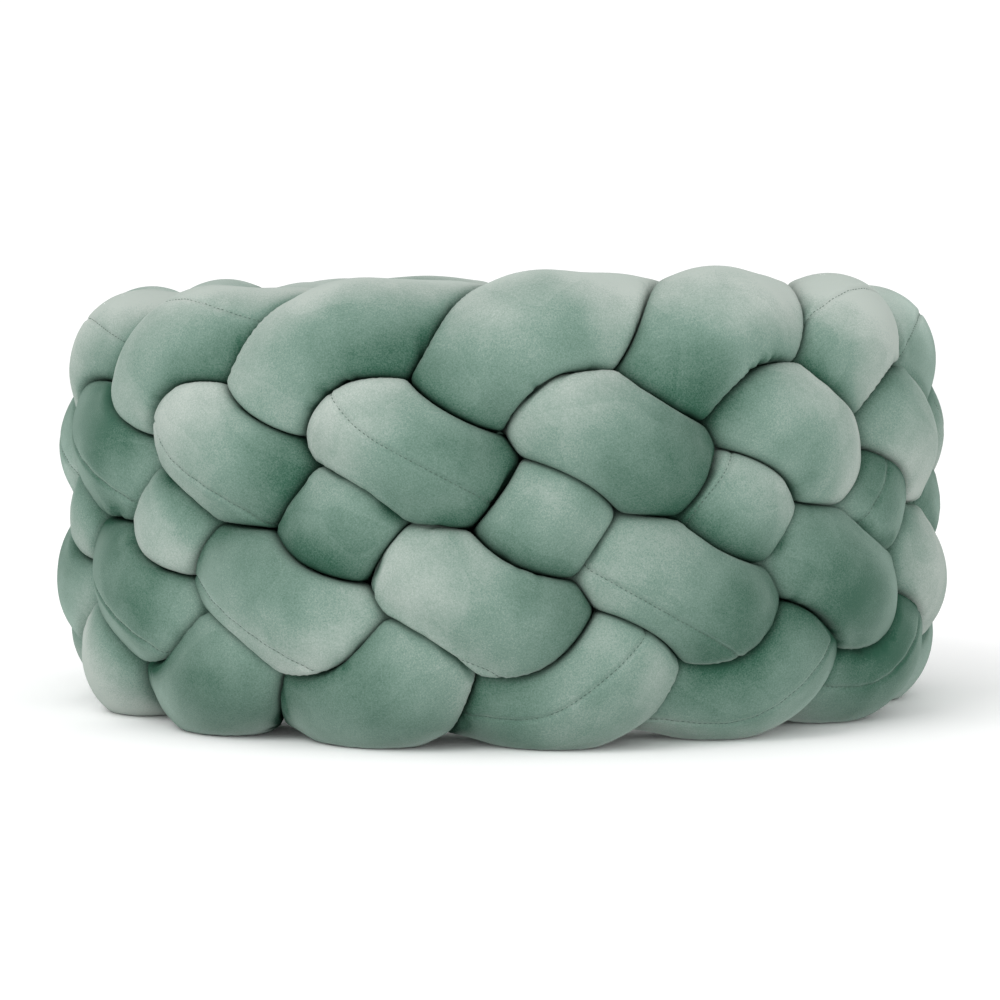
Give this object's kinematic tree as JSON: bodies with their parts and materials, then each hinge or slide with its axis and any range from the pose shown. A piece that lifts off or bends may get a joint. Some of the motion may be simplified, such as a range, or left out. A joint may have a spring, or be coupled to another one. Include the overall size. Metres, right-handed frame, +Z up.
{
  "type": "braided crib bumper",
  "caption": "Wide flat braid of stuffed velvet tubes that lines a crib, curled into a ring with its ends meeting and standing on its long edge.",
  "frame": {"origin": "under the middle of the whole object, on the surface that the braid's lower edge stands on", "axes": "+Z up, -Y the front of the ring, +X to the right seen from the front; the braid's two ends meet at +Y"},
  "size_m": [0.6099, 0.5842, 0.2934],
  "materials": {
    "velvet": "sage green short-pile velvet, brushed, with a soft sheen"
  },
  "bodies": {
    "root": {"tube_1": "velvet", "tube_2": "velvet", "tube_3": "velvet", "tube_4": "velvet", "tube_5": "velvet", "tube_6": "velvet"}
  },
  "joints": []
}
